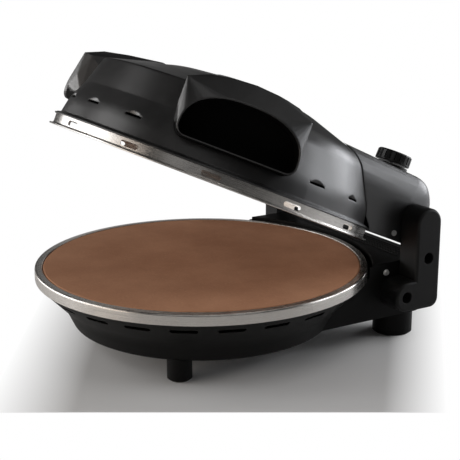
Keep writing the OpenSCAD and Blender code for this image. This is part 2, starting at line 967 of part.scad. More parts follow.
vent_angles = [
    vent_first - vent_pitch,
    vent_first,
    vent_first + vent_pitch,
    vent_rear,
    vent_rear + vent_rear_pitch,
    -vent_rear,
    -vent_rear - vent_rear_pitch
];
vent_ball_r = (vent_w * vent_w / 4 + vent_depth * vent_depth) / (2 * vent_depth);

// Radius of the dome's side at a height, close enough to seat the vents
function side_r(h) = dome_foot_r - 3.5 * (h - brim_top) / 16;

module vent_cut(a) {
    surface_r = side_r(vent_h);
    rotate([0, 0, a]) {
        intersection() {
            translate([0, -surface_r - vent_ball_r + vent_depth, vent_h])
                sphere(r = vent_ball_r, $fn = 64);
            translate([-vent_w, -surface_r - 20, vent_h])
                cube([2 * vent_w, 40, vent_w]);
        }
        translate([-vent_slot_w / 2, -surface_r - 4, vent_h])
            cube([vent_slot_w, 12, vent_slot_h]);
    }
}

module lid_cover() {
    color([0.08, 0.08, 0.09])
    lid_pose()
    difference() {
        union() {
            dome_solid();
            crease_solid();
            both_sides() hood_solid();
            // Brim with its groove
            rotate_extrude($fn = 160)
                polygon([
                    [lid_band_r - 12, band_top],
                    [brim_r - 0.6, band_top],
                    [brim_r, band_top + 0.7],
                    [brim_r - 0.4, band_top + 1.7],
                    [brim_r - 1.8, band_top + 1.9],
                    [brim_r - 2.2, brim_top],
                    [dome_foot_r - 2, brim_top + 1.4],
                    [dome_foot_r - 12, brim_top + 1.4]
                ]);
        }
        dome_solid(wall_t);
        crease_solid(wall_t);
        translate([0, 0, band_top - 1])
            cylinder(r = dome_foot_r - wall_t, h = brim_h + 1.02, $fn = 160);
        both_sides() {
            mouth_cut(0, -1, pocket_setback + 1.01);
            mouth_cut(pocket_wall + fit_gap, pocket_setback, pocket_d + 8);
        }
        for (a = vent_angles) vent_cut(a);
        wire_passage();
    }
}

// Wires run from the rear housing to the upper element through the dome's rear wall
module wire_passage() {
    translate([0, dome_foot_r - 40, 52])
        rotate([-90, 0, 0])
            cylinder(d = 24, h = 60);
}

// Pocket behind a hand opening: an open cup that seats in the hood
module hand_pocket() {
    difference() {
        mouth_cut(pocket_wall, pocket_setback, pocket_d);
        mouth_cut(0, pocket_setback - 1, pocket_d - pocket_wall + 1);
    }
}

module hand_pocket_right() {
    color([0.05, 0.05, 0.055])
        lid_pose() hand_pocket();
}

module hand_pocket_left() {
    color([0.05, 0.05, 0.055])
        lid_pose() mirror([1, 0, 0]) hand_pocket();
}

band_in_r = lid_band_r - sheet_t;
reflector_seat = 6;

module lid_ring() {
    color([0.78, 0.78, 0.8])
    lid_pose()
    difference() {
        rotate_extrude($fn = 128)
            polygon(concat(
                [[band_in_r, lid_gap + 1.6], [band_in_r + 1.2, lid_gap]],
                [for (k = [0 : 6]) [lid_flange_r - 0.9 + 0.9 * sin(180 - k * 30), lid_gap + 0.9 - 0.9 * cos(k * 30)]],
                [[lid_band_r + 1.2, lid_gap + 1.8], [lid_band_r, lid_gap + 2.8]],
                [[lid_band_r, band_top], [lid_band_r - reflector_seat, band_top]],
                [[lid_band_r - reflector_seat, band_top - sheet_t], [band_in_r, band_top - sheet_t]]
            ));
        for (k = [0 : band_slots - 1])
            through_wall(band_slot_turn + k * 360 / band_slots, lid_band_r, lid_gap + lid_band_h * 0.56, 8)
                slot_outline(band_slot_w, band_slot_h);
    }
}

reflector_top = upper_tube_h + 11;
reflector_r = band_in_r - 0.5;
reflector_flat_r = loop_r + 8;
reflector_lip_r = reflector_r - 6;

// Steel dish that closes the lid's underside above the band and reflects heat downwards
module lid_reflector() {
    color([0.66, 0.66, 0.68])
    lid_pose()
    difference() {
        rotate_extrude($fn = 128)
            polygon([
                [0, reflector_top - sheet_t],
                [reflector_flat_r, reflector_top - sheet_t],
                [reflector_lip_r, band_top + 3],
                [reflector_lip_r, band_top - 2 * sheet_t],
                [reflector_r, band_top - 2 * sheet_t],
                [reflector_r, band_top - sheet_t],
                [reflector_lip_r + sheet_t, band_top - sheet_t],
                [reflector_lip_r + sheet_t, band_top + 3.3],
                [reflector_flat_r + sheet_t * 0.4, reflector_top],
                [0, reflector_top]
            ]);
        upper_passage();
    }
}

// Two holes through the dish for the ends of the upper heating tube
module upper_passage() {
    for (side = [-1, 1])
        translate([side * terminal_x, loop_r, upper_tube_h])
            rotate([-90, 0, 0])
                cylinder(d = tube_d + 2.4, h = 60);
}

module upper_element() {
    color([0.35, 0.34, 0.33])
    lid_pose()
        translate([0, 0, upper_tube_h])
            heating_tube(dome_foot_r - 8);
}

module upper_element_clips() {
    color([0.75, 0.75, 0.76])
    lid_pose()
        translate([0, 0, upper_tube_h])
            mirror([0, 0, 1])
                tube_clips(-(reflector_top - sheet_t - upper_tube_h));
}

// Side view of the lid's rear housing, looking along X. Its back is drawn in by pull and its top by drop.
module rear_side(inset, pull, drop) {
    back = rear_y - inset - pull;
    top = rear_top_h - inset - drop;
    top_round = min(rear_top_round - inset, top - rear_floor_h - rear_floor_round - 1);
    polygon(rounded([
        [60, rear_floor_h + inset, 0],
        [back, rear_floor_h + inset, rear_floor_round - inset],
        [back, top, top_round],
        [60, top + 3, 0]
    ], 8));
}

edge_steps = 6;

// The housing's form, rounded over its upper and rear side edges; inset draws it in by a wall
module rear_solid(inset = 0) {
    r = rear_edge_round - inset;
    fall = rear_side_fall - inset;
    hull()
        for (k = [0 : edge_steps]) {
            turn = 90 * k / edge_steps;
            half = rear_half - inset - r * (1 - cos(turn));
            translate([-half, 0, 0])
                rotate([90, 0, 90])
                    linear_extrude(height = 2 * half)
                        rear_side(inset, r * (1 - sin(turn)), fall * (1 - sin(turn)));
        }
}

// Space that the dome and its brim take inside the rear housing's front
module dome_space(gap) {
    rotate_extrude($fn = 160)
        polygon(concat(
            [[0, 0], [brim_r + gap, 0], [brim_r + gap, brim_top + gap]],
            [for (p = dome_outline(-gap)) if (p[1] > brim_top + gap + 0.5 && p[0] > 0.01) p],
            [[0, dome_h + gap]]
        ));
}

module lid_rear_housing() {
    color([0.09, 0.09, 0.1])
    lid_pose()
    difference() {
        union() {
            difference() {
                rear_solid();
                rear_solid(wall_t);
            }
            // Hubs that hold the hinge bushes
            for (side = [-1, 1])
                bar_x(side * (rear_half - 24), side * (rear_half - 0.5), hinge_y, hinge_rise, bush_d + 2 * wall_t);
            // Boss under the knob
            translate([knob_x, knob_y, boss_low])
                cylinder(d = 16, h = rear_top_h - 1 - boss_low);
        }
        dome_space(fit_gap);
        translate([-rear_hatch_half, 60, rear_floor_h - 1])
            cube([2 * rear_hatch_half, rear_hatch_y - 60, wall_t + 2]);
        for (side = [-1, 1])
            bar_x(side * (rear_half - 25), side * (rear_half + 2), hinge_y, hinge_rise, bush_d);
        translate([knob_x, knob_y, 0])
            cylinder(d = spindle_d + 1, h = 120);
        thermostat_space();
    }
}

knob_y = hinge_y - knob_front;

// Boss that the thermostat hangs from, and the thermostat below it
boss_low = rear_top_h - 14;
thermostat_h = 20;
thermostat_z = boss_low - thermostat_h;

module thermostat_space() {
    translate([knob_x, knob_y, boss_low - 40])
        cylinder(d = 36, h = 40);
}

// Hatch in the housing's underside, between the hinge hubs
rear_hatch_half = rear_half - 28;
rear_hatch_y = hinge_y - 1;

module rear_housing_plate() {
    color([0.07, 0.07, 0.08])
    lid_pose()
    difference() {
        translate([-rear_hatch_half + fit_gap, 100, rear_floor_h])
            cube([2 * (rear_hatch_half - fit_gap), rear_hatch_y - 100 - fit_gap, wall_t]);
        dome_space(fit_gap);
        for (k = [-3 : 3])
            translate([k * 18, rear_hatch_y - 8, rear_floor_h - 1])
                linear_extrude(height = wall_t + 2)
                    slot_outline(12, 2.6);
    }
}

module hinge_bushes() {
    color([0.76, 0.62, 0.36])
    lid_pose()
        both_sides()
            difference() {
                bar_x(rear_half - 24, rear_half + lid_side_gap - 0.4, hinge_y, hinge_rise, bush_d - 0.02);
                bar_x(rear_half - 25, rear_half + lid_side_gap + 1, hinge_y, hinge_rise, pin_d + 2 * pin_clearance);
            }
}

module thermostat() {
    color([0.8, 0.8, 0.78])
    lid_pose()
        translate([knob_x, knob_y, thermostat_z])
            difference() {
                union() {
                    cylinder(d = 32, h = thermostat_h);
                    translate([-20, -5, thermostat_h - 6])
                        cube([40, 10, 6]);
                    translate([0, 0, thermostat_h - 0.01])
                        cylinder(d = spindle_d + 0.9, h = 3);
                }
                translate([0, 0, 6])
                    cylinder(d = spindle_d + 0.12, h = 30);
            }
}

knob_base = rear_top_h + collar_h + knob_lift;
collar_seat_gap = 0.1;

module knob_collar() {
    color([0.1, 0.1, 0.11])
    lid_pose()
        difference() {
            translate([knob_x, knob_y, rear_top_h - 2])
                cylinder(d1 = collar_d + 1.6, d2 = collar_d, h = collar_h + 2);
            rear_solid(-collar_seat_gap);
            translate([knob_x, knob_y, 0])
                cylinder(d = spindle_d + 1, h = 200);
        }
}

module control_knob() {
    color([0.06, 0.06, 0.065])
    lid_pose()
        translate([knob_x, knob_y, knob_base])
            difference() {
                rotate_extrude($fn = 96)
                    polygon([
                        [0, 0],
                        [knob_d / 2 - 0.4, 0],
                        [knob_d / 2, 0.5],
                        [knob_d / 2 - 0.3, knob_h - 1.6],
                        [knob_d / 2 - 1.8, knob_h - 0.2],
                        [knob_d / 2 - 4, knob_h],
                        [knob_d / 2 - 5.5, knob_h - 0.8],
                        [0, knob_h - 0.8]
                    ]);
                for (k = [0 : knob_ribs - 1])
                    rotate([0, 0, (k + 0.5) * 360 / knob_ribs])
                        translate([knob_d / 2 + 0.2, 0, 2])
                            rotate([0, 0, 45])
                                cube([1.9, 1.9, 40], center = false);
                translate([0, 0, -1])
                    cylinder(d = spindle_d, h = knob_h - 3, $fn = 48);
                translate([-0.9, -knob_d / 2 + 5.6, knob_h - 1.5])
                    cube([1.8, 8, 3]);
            }
}

// The spindle stops short of the bottom of the thermostat's bore
spindle_low = thermostat_z + 6.3;

module knob_spindle() {
    color([0.75, 0.75, 0.76])
    lid_pose()
        translate([knob_x, knob_y, spindle_low])
            cylinder(d = spindle_d, h = knob_base + knob_h - 4 - spindle_low, $fn = 48);
}

// Screws low on the rear housing's sides
module lid_screws() {
    color([0.7, 0.7, 0.72])
    lid_pose()
        both_sides()
            translate([rear_half, hinge_y - 28, rear_floor_h + 7])
                rotate([0, 90, 0])
                    cylinder(d = 6, h = 1.3, $fn = 32);
}

base_housing();
base_deck();
base_ring();
baking_stone();
stone_pan();
lower_element();
lower_element_clips();
terminal_block();
cord_gland();
hinge_arm_left();
hinge_arm_right();
arm_screws();
hinge_pins();
front_feet();
rear_feet();
foot_pads();
base_screws();
lid_cover();
hand_pocket_left();
hand_pocket_right();
lid_ring();
lid_reflector();
upper_element();
upper_element_clips();
lid_rear_housing();
rear_housing_plate();
hinge_bushes();
thermostat();
knob_collar();
lid_screws();
control_knob();
knob_spindle();
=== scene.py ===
# %% [markdown]
# # A countertop stone oven with its lid raised
# The oven's solids come from its CAD model, packed as a fixed frame: the bowl, the stone, the hinge arms, the
# domed lid and the knob are all there at their real size, in metres. What is left for Blender is how the oven
# looks. We smooth the one moulding whose rounded edges come as flat strips, give every surface its own finish, and
# set up a plain studio.

# %% Load the frame and keep its box
import math
import bpy
from mathutils import Matrix, Vector


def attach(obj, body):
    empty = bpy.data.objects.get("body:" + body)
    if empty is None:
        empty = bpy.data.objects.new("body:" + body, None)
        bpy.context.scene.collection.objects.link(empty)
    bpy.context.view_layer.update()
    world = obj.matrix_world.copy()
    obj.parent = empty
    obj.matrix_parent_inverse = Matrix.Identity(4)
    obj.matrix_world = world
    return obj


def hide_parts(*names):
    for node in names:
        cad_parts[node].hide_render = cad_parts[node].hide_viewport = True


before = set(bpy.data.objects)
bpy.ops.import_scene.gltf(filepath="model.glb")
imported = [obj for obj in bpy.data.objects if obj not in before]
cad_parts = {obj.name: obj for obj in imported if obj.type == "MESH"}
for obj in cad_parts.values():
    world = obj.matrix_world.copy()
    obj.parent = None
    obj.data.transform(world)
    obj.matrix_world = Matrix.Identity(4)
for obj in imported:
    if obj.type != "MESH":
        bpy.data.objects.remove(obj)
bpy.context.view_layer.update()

# which object shows each node of the frame: at first its own, later perhaps a piece that stands in for it
shown_pieces = dict(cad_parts)
print("nodes in the frame:", len(shown_pieces))

# %% [markdown]
# ## Where things are
# The lid turns about an axis behind the stone and is drawn standing open. Several finishes follow the closed lid's
# own axes, so we keep the hinge's place and the opening angle as named values. The printed point shows how far the
# lid's front edge has risen.

# %% The hinge and the open lid
HINGE = Vector((0.0, 0.1892, 0.107))
LID_OPEN = math.radians(24.2)
LID_FRONT_EDGE = Vector((0.0, -0.1726, 0.086))
lid_turn = Matrix.Rotation(-LID_OPEN, 4, "X")
lid_pose = Matrix.Translation(HINGE) @ lid_turn @ Matrix.Translation(-HINGE)
print("lid's front edge at", tuple(round(v, 3) for v in lid_pose @ LID_FRONT_EDGE))

# %% [markdown]
# ## The camera
# The photograph looks down a little from the right front with a long lens. We place the camera by its distance and
# its aim, and turn it with a track direction, so that its view can be checked by numbers.

# %% Camera
CAMERA_PLACE = Vector((0.9640, -0.5447, 0.4157))
CAMERA_AIM = Vector((0.0152, 0.0254, 0.1150))
LENS_MM = 86.09
SENSOR_MM = 36.0
bpy.context.scene.view_settings.view_transform = "Standard"
camera_data = bpy.data.cameras.new("camera")
camera_data.lens = LENS_MM
camera_data.sensor_width = SENSOR_MM
camera = bpy.data.objects.new("camera", camera_data)
camera.location = CAMERA_PLACE
camera.rotation_euler = (CAMERA_AIM - CAMERA_PLACE).to_track_quat("-Z", "Y").to_euler()
bpy.context.scene.collection.objects.link(camera)
bpy.context.scene.camera = camera
print("camera stands off by", round((CAMERA_AIM - CAMERA_PLACE).length, 3), "m")

# %% [markdown]
# ## A small kit for finishes
# A finish is a chain of nodes: where on the piece we are, a pattern made from that place, and the shader that the
# pattern feeds. Writing the chain by hand takes many lines, so a small class adds nodes, joins their sockets and
# holds the few steps that every finish uses. Every pattern reads Object coordinates, because they stay on the
# piece in each view and in each pose.

# %% Helpers for node chains
# The Mix node keeps a set of sockets for each kind of value; these are the ones for colours
MIX_FIRST, MIX_SECOND, MIX_RESULT = 6, 7, 2
# A noise's values crowd round a half: nearly all lie in the wide span, and the narrow one gives clearer patches
WIDE_SPAN, NARROW_SPAN = (0.3, 0.7), (0.35, 0.65)


class Finish:
    """A material whose nodes are added and joined in a few words."""

    def __init__(self, name):
        self.material = bpy.data.materials.new(name)
        self.material.use_nodes = True
        self.tree = self.material.node_tree
        self.shader = self.tree.nodes["Principled BSDF"]

    def add(self, kind, settings=None, **inputs):
        node = self.tree.nodes.new("ShaderNode" + kind)
        for key, value in (settings or {}).items():
            setattr(node, key, value)
        for key, value in inputs.items():
            self.put(value, node.inputs[key.replace("_", " ")])
        return node

    def put(self, value, socket):
        if isinstance(value, bpy.types.NodeSocket):
            self.tree.links.new(value, socket)
        else:
            socket.default_value = value

    def math(self, operation, a, b=0.0):
        node = self.add("Math", {"operation": operation})
        self.put(a, node.inputs[0])
        self.put(b, node.inputs[1])
        return node.outputs[0]

    def mix_colour(self, share, first, second, blend="MIX"):
        node = self.add("Mix", {"data_type": "RGBA", "blend_type": blend})
        self.put(share, node.inputs[0])
        self.put(first, node.inputs[MIX_FIRST])
        self.put(second, node.inputs[MIX_SECOND])
        return node.outputs[MIX_RESULT]

    def ramp(self, value, low, high, out_low=0.0, out_high=1.0):
        """Where value goes from low to high, the answer goes from out_low to out_high, and stays there."""
        node = self.add("MapRange")
        self.put(value, node.inputs[0])
        for k, number in enumerate((low, high, out_low, out_high)):
            node.inputs[k + 1].default_value = number
        return node.outputs[0]

    def place(self, lid=False):
        """Object coordinates; for the lid's pieces they are turned back to the closed lid."""
        here = self.add("TexCoord").outputs["Object"]
        if not lid:
            return here
        turn_back = lid_pose.inverted()
        move = self.add("Mapping", {"vector_type": "POINT"}, Vector=here)
        move.inputs["Location"].default_value = turn_back.to_translation()
        move.inputs["Rotation"].default_value = turn_back.to_euler()
        return move.outputs[0]

    def noise(self, vector, scale, detail=3.0, rough=0.5):
        """Soft random waves; scale is about how many of them fit in a metre."""
        node = self.add("TexNoise", None, Vector=vector, Scale=scale, Detail=detail, Roughness=rough)
        return node.outputs["Fac"]

    def set(self, **values):
        for key, value in values.items():
            self.put(value, self.shader.inputs[key.replace("_", " ")])


# %% [markdown]
# ## Giving a finish to pieces
# A piece shows the material in its mesh's slot. We name the nodes that a finish is for, empty their slots and put
# the material in. Each node's name leads to the object that shows it, so a piece that stands in for a node gets
# its finish in the same way.

# %% Helper for the material slots
def assign(finish, *names):
    """Give a finish to the pieces that show these nodes."""
    for name in names:
        mesh = shown_pieces[name].data
        mesh.materials.clear()
        mesh.materials.append(finish.material)
    print(finish.material.name, "->", ", ".join(names))


# %% [markdown]
# ## A smooth skin for the rear housing
# The frame's rear housing has its large rounded edges cut into flat strips, as a hull of slices leaves them. On
# the real moulding they flow into the sides. We copy the mesh, join its loose corners, merge the triangles of each
# flat side, and shade it smooth wherever two faces meet at a small enough angle. Each corner's direction is then
# weighted by face area, so that the flat sides stay flat and only the strips bend. The copy stands in for the
# node; the node itself is left as it is.

# %% Smooth copy of a hulled moulding
JOIN_DISTANCE = 0.00002
FLAT_ANGLE = math.radians(0.5)
SOFT_ANGLE = math.radians(34.0)


def smooth_copy(node_name, body):
    """A merged copy of a frame node, shaded smooth, that stands in for it."""
    bpy.ops.object.select_all(action="DESELECT")
    piece = bpy.data.objects.new(node_name + "_skin", shown_pieces[node_name].data.copy())
    bpy.context.scene.collection.objects.link(piece)
    piece.select_set(True)
    bpy.context.view_layer.objects.active = piece
    bpy.ops.object.mode_set(mode="EDIT")
    bpy.ops.mesh.select_all(action="SELECT")
    bpy.ops.mesh.remove_doubles(threshold=JOIN_DISTANCE)
    bpy.ops.mesh.dissolve_limited(angle_limit=FLAT_ANGLE)
    bpy.ops.object.mode_set(mode="OBJECT")
    bpy.ops.object.shade_smooth_by_angle(angle=SOFT_ANGLE)
    weigh = piece.modifiers.new("weigh", "WEIGHTED_NORMAL")
    weigh.keep_sharp = True
    bpy.ops.object.modifier_apply(modifier=weigh.name)
    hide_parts(node_name)
    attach(piece, body)
    shown_pieces[node_name] = piece
    print(piece.name, "faces", len(piece.data.polygons))


smooth_copy("lid_rear_housing", "lid")

# %% [markdown]
# ## Moulded black plastic
# The housings are satin black plastic out of a spark-eroded mould. Up close such a surface has a fine even grain,
# and from further off it has soft, slightly uneven highlights. The grain is one fast noise, which tilts the surface
# and speckles its colour and gloss a little. A wide and a small cloud shift the colour from place to place, and the
# small one shifts the gloss too. A Bevel node rounds the edges in the shading alone, as a mould does, without
# touching the frame's meshes.

# %% Plastic
WIDE_CLOUD, SMALL_CLOUD, MOULD_GRAIN = 9.0, 55.0, 1500.0
WIDE_SHARE, SMALL_SHARE = 0.6, 0.4
# where in the grain the speckle starts and is full, and what it multiplies the colour by there
SPECKLE = (0.35, 0.7, 0.86, 1.12)
CLOUD_GLOSS, GRAIN_GLOSS = 0.035, 0.03


def plastic(name, dark, pale, gloss, grain, edge, shine=0.5, lid=False):
    """Satin plastic from its two shades, its roughness, the strength of its grain, the radius of its edges and
    how much it mirrors."""
    f = Finish(name)
    here = f.place(lid)
    wide = f.noise(here, WIDE_CLOUD, 4.0, 0.6)
    small = f.noise(here, SMALL_CLOUD, 5.0, 0.65)
    fine = f.noise(here, MOULD_GRAIN, 2.0, 0.6)
    both = f.math("ADD", f.math("MULTIPLY", wide, WIDE_SHARE), f.math("MULTIPLY", small, SMALL_SHARE))
    colour = f.mix_colour(f.ramp(both, *NARROW_SPAN), (*dark, 1), (*pale, 1))
    speck = f.ramp(fine, *SPECKLE)
    grey = f.add("CombineColor", None, Red=speck, Green=speck, Blue=speck).outputs[0]
    speckled = f.mix_colour(1.0, colour, grey, "MULTIPLY")
    patchy = f.ramp(small, *WIDE_SPAN, gloss - CLOUD_GLOSS, gloss + CLOUD_GLOSS)
    rough = f.math("ADD", patchy, f.ramp(fine, *WIDE_SPAN, -GRAIN_GLOSS, GRAIN_GLOSS))
    round_edge = f.add("Bevel", {"samples": 4}, Radius=edge)
    bump = f.add("Bump", None, Strength=grain, Distance=0.0002, Height=fine, Normal=round_edge.outputs[0])
    f.set(Base_Color=speckled, Roughness=rough, Normal=bump.outputs[0], Specular_IOR_Level=shine)
    return f


base_black = plastic("satin_black_base", dark=(0.0045, 0.0044, 0.0043), pale=(0.0075, 0.0073, 0.0071),
                     gloss=0.44, grain=0.25, edge=0.0009, shine=0.12)
assign(base_black, "base_housing", "base_deck", "front_feet", "rear_feet")
lid_black = plastic("satin_black_lid", dark=(0.005, 0.0048, 0.0048), pale=(0.0085, 0.0081, 0.0082),
                    gloss=0.36, grain=0.22, edge=0.0022, shine=1.0, lid=True)
assign(lid_black, "lid_cover", "lid_rear_housing", "rear_housing_plate")
arm_black = plastic("satin_black_arms", dark=(0.006, 0.0058, 0.0058), pale=(0.009, 0.0087, 0.0087),
                    gloss=0.48, grain=0.25, edge=0.0010, shine=0.27)
assign(arm_black, "hinge_arm_left", "hinge_arm_right")
pocket_black = plastic("matte_black_pockets", dark=(0.002, 0.002, 0.002), pale=(0.0035, 0.0034, 0.0034),
                       gloss=0.66, grain=0.3, edge=0.0005, shine=0.15, lid=True)
assign(pocket_black, "hand_pocket_left", "hand_pocket_right")
knob_black = plastic("gloss_black_knob", dark=(0.004, 0.004, 0.004), pale=(0.007, 0.0068, 0.0068),
                     gloss=0.28, grain=0.12, edge=0.0003, lid=True)
assign(knob_black, "control_knob", "knob_collar")

# %% [markdown]
# ## Brushed steel bands
# Both bands are rolled from sheet that was brushed along its length, so the scratches run round the oven. We build
# a coordinate that changes slowly round the ring and very fast across it: the direction from the axis, and the
# sum of radius and height, scaled up. The noise made from it has long thin streaks with no seam. Such scratches
# spread a highlight across themselves, which is the shader's anisotropy turned by a quarter. The pan under the
# stone and the dish in the lid take the same finish with coarser lines.

# %% Brushed steel
WAVES_ROUND = 4.0
SMUDGE = 40.0
QUARTER_TURN = 0.25
# the radius never falls below this, so that the division by it also works on the axis
SMALL_RADIUS = 0.001


def brushed(name, tint, gloss, lid=False, streak=5200.0, contrast=0.10):
    """Metal brushed round the oven's axis: streak is about how many scratches fit in a metre across it."""
    f = Finish(name)
    here = f.place(lid)
    x, y, z = f.add("SeparateXYZ", None, Vector=here).outputs
    radius = f.math("SQRT", f.math("ADD", f.math("MULTIPLY", x, x), f.math("MULTIPLY", y, y)))
    radius = f.math("MAXIMUM", radius, SMALL_RADIUS)
    line = f.add("CombineXYZ")
    f.put(f.math("MULTIPLY", f.math("DIVIDE", x, radius), WAVES_ROUND), line.inputs[0])
    f.put(f.math("MULTIPLY", f.math("DIVIDE", y, radius), WAVES_ROUND), line.inputs[1])
    f.put(f.math("MULTIPLY", f.math("ADD", radius, z), streak), line.inputs[2])
    streaks = f.noise(line.outputs[0], 1.0, 4.0, 0.65)
    smudge = f.noise(here, SMUDGE, 4.0, 0.6)
    dark = tuple(c * (1 - contrast) for c in tint)
    pale = tuple(min(c * (1 + contrast), 1.0) for c in tint)
    colour = f.mix_colour(f.ramp(streaks, *WIDE_SPAN), (*dark, 1), (*pale, 1))
    scratched = f.ramp(streaks, *WIDE_SPAN, gloss - 0.05, gloss + 0.06)
    rough = f.math("ADD", scratched, f.ramp(smudge, *NARROW_SPAN, -0.02, 0.04))
    bump = f.add("Bump", None, Strength=0.12, Distance=0.0001, Height=streaks)
    f.set(Base_Color=colour, Metallic=1.0, Roughness=rough, Normal=bump.outputs[0])
    f.set(Anisotropic=0.6, Anisotropic_Rotation=QUARTER_TURN)
    return f


assign(brushed("brushed_steel_base", (0.71, 0.678, 0.640), 0.25), "base_ring")
assign(brushed("brushed_steel_lid", (0.69, 0.668, 0.640), 0.25, lid=True), "lid_ring")
assign(brushed("rolled_steel_pan", (0.45, 0.44, 0.43), 0.36, streak=1800.0), "stone_pan")
dish_metal = brushed("aluminised_dish", (0.62, 0.62, 0.61), 0.30, lid=True, streak=1500.0, contrast=0.06)
assign(dish_metal, "lid_reflector")

# %% [markdown]
# ## The baking stone
# The stone is pressed and fired clay: dull, warm brown, with fine grog specks, faint lighter and darker clouds
# and small pits. It has hardly any gloss, so it is nearly fully rough and the bump is what catches the light.

# %% Fired clay
CLAY_DARK, CLAY_PALE = (0.46, 0.215, 0.115, 1), (0.60, 0.305, 0.175, 1)
GROG_DARK, GROG_PALE = (0.27, 0.115, 0.058, 1), (0.70, 0.42, 0.26, 1)
CLAY_CLOUD, GROG, PITS = 14.0, 420.0, 330.0
# where in the grog's noise the specks start and are full, and how much of their colour they get from and to
PALE_SPECKS, DARK_SPECKS = (0.56, 0.72, 0.0, 0.55), (0.40, 0.30, 0.0, 0.45)
# how far from a pit's middle it ends, and how deep it goes in the middle and there
PIT_SHAPE = (0.0, 0.22, 0.35, 0.0)

clay = Finish("fired_clay_stone")
here = clay.place()
cloud = clay.noise(here, CLAY_CLOUD, 5.0, 0.6)
grog = clay.noise(here, GROG, 4.0, 0.7)
pits = clay.add("TexVoronoi", None, Vector=here, Scale=PITS).outputs["Distance"]
tone = clay.mix_colour(clay.ramp(cloud, *WIDE_SPAN), CLAY_DARK, CLAY_PALE)
tone = clay.mix_colour(clay.ramp(grog, *PALE_SPECKS), tone, GROG_PALE)
tone = clay.mix_colour(clay.ramp(grog, *DARK_SPECKS), tone, GROG_DARK)
height = clay.math("SUBTRACT", clay.math("MULTIPLY", grog, 0.8), clay.ramp(pits, *PIT_SHAPE))
bump = clay.add("Bump", None, Strength=0.35, Distance=0.0004, Height=height)
clay.set(Base_Color=tone, Roughness=clay.ramp(grog, *WIDE_SPAN, 0.78, 0.92), Normal=bump.outputs[0])
clay.set(Specular_IOR_Level=0.3)
assign(clay, "baking_stone")

# %% [markdown]
# ## Heating tubes
# A heating tube's steel has been red hot, which leaves a dull grey-brown oxide in patches. One slow noise makes
# the patches, in colour and in gloss together, and a finer one roughens the skin.

# %% Oxidised tube
OXIDE_DARK, OXIDE_PALE = (0.10, 0.088, 0.078, 1), (0.20, 0.185, 0.17, 1)
OXIDE_PATCH, OXIDE_SKIN = 60.0, 900.0


def oxidised(name, lid):
    f = Finish(name)
    here = f.place(lid)
    patch = f.noise(here, OXIDE_PATCH, 6.0, 0.65)
    fine = f.noise(here, OXIDE_SKIN, 3.0, 0.6)
    colour = f.mix_colour(f.ramp(patch, *NARROW_SPAN), OXIDE_DARK, OXIDE_PALE)
    rough = f.ramp(patch, *WIDE_SPAN, 0.62, 0.42)
    bump = f.add("Bump", None, Strength=0.25, Distance=0.0002, Height=fine)
    f.set(Base_Color=colour, Metallic=0.75, Roughness=rough, Normal=bump.outputs[0])
    return f


assign(oxidised("oxidised_tube_base", False), "lower_element")
assign(oxidised("oxidised_tube_lid", True), "upper_element")

# %% [markdown]
# ## Small metal parts
# Pins, clips, the recessed screws, the knob's spindle and the thermostat are plain bright steel with a turned
# finish. The case screws are zinc plated, which is paler and much duller. The hinge bushes are brass. One finish
# serves them all, with another tint and gloss.

# %% Bright small parts
STEEL, ZINC, BRASS = (0.72, 0.71, 0.70), (0.92, 0.91, 0.89), (0.75, 0.55, 0.25)
TURNING, STAIN = 2600.0, 130.0
STAIN_SHADE = 0.82


def bright(name, tint, gloss, lid=False):
    f = Finish(name)
    here = f.place(lid)
    turned = f.noise(here, TURNING, 2.0, 0.5)
    stain = f.noise(here, STAIN, 4.0, 0.6)
    dark = tuple(c * STAIN_SHADE for c in tint)
    colour = f.mix_colour(f.ramp(stain, 0.35, 0.7), (*dark, 1), (*tint, 1))
    rough = f.ramp(turned, *WIDE_SPAN, gloss - 0.05, gloss + 0.07)
    bump = f.add("Bump", None, Strength=0.1, Distance=0.0001, Height=turned)
    f.set(Base_Color=colour, Metallic=1.0, Roughness=rough, Normal=bump.outputs[0])
    return f


assign(bright("bright_steel_base", STEEL, 0.24), "arm_screws", "hinge_pins", "lower_element_clips")
assign(bright("bright_steel_lid", STEEL, 0.24, lid=True), "upper_element_clips", "knob_spindle", "thermostat")
assign(bright("zinc_screws_base", ZINC, 0.52), "base_screws")
assign(bright("zinc_screws_lid", ZINC, 0.52, lid=True), "lid_screws")
assign(bright("turned_brass", BRASS, 0.26, lid=True), "hinge_bushes")

# %% [markdown]
# ## Rubber and ceramic
# The foot pads and the cord's gland are black rubber, dull with a soft grain. The terminal block is pale ceramic,
# which is smoother. Both get a faint cloud, so that neither is one flat colour.

# %% Rubber and ceramic
SKIN_GRAIN = 1100.0


def plain(name, dark, pale, rough, cloud, depth):
    f = Finish(name)
    here = f.place()
    slow = f.noise(here, cloud, 5.0, 0.6)
    fine = f.noise(here, SKIN_GRAIN, 3.0, 0.6)
    bump = f.add("Bump", None, Strength=depth, Distance=0.0003, Height=fine)
    f.set(Base_Color=f.mix_colour(f.ramp(slow, *NARROW_SPAN), (*dark, 1), (*pale, 1)))
    f.set(Roughness=f.ramp(fine, *WIDE_SPAN, rough - 0.05, rough + 0.05), Normal=bump.outputs[0])
    return f


rubber = plain("rubber_pads", (0.016, 0.016, 0.016), (0.030, 0.030, 0.029), 0.85, cloud=60.0, depth=0.35)
assign(rubber, "foot_pads", "cord_gland")
ceramic = plain("white_ceramic", (0.62, 0.60, 0.55), (0.72, 0.70, 0.66), 0.45, cloud=90.0, depth=0.15)
assign(ceramic, "terminal_block")

# %% [markdown]
# ## The floor
# The oven stands on a pale grey floor that turns white around it. The floor here is one large plane. Near the oven
# it is plain pale paint that takes the shadow, and further off it becomes white for the camera alone, so that no
# extra light reaches the oven. Where that happens is measured along the camera's direction on the floor: how far a
# place lies behind the oven's middle, and how far to its right.

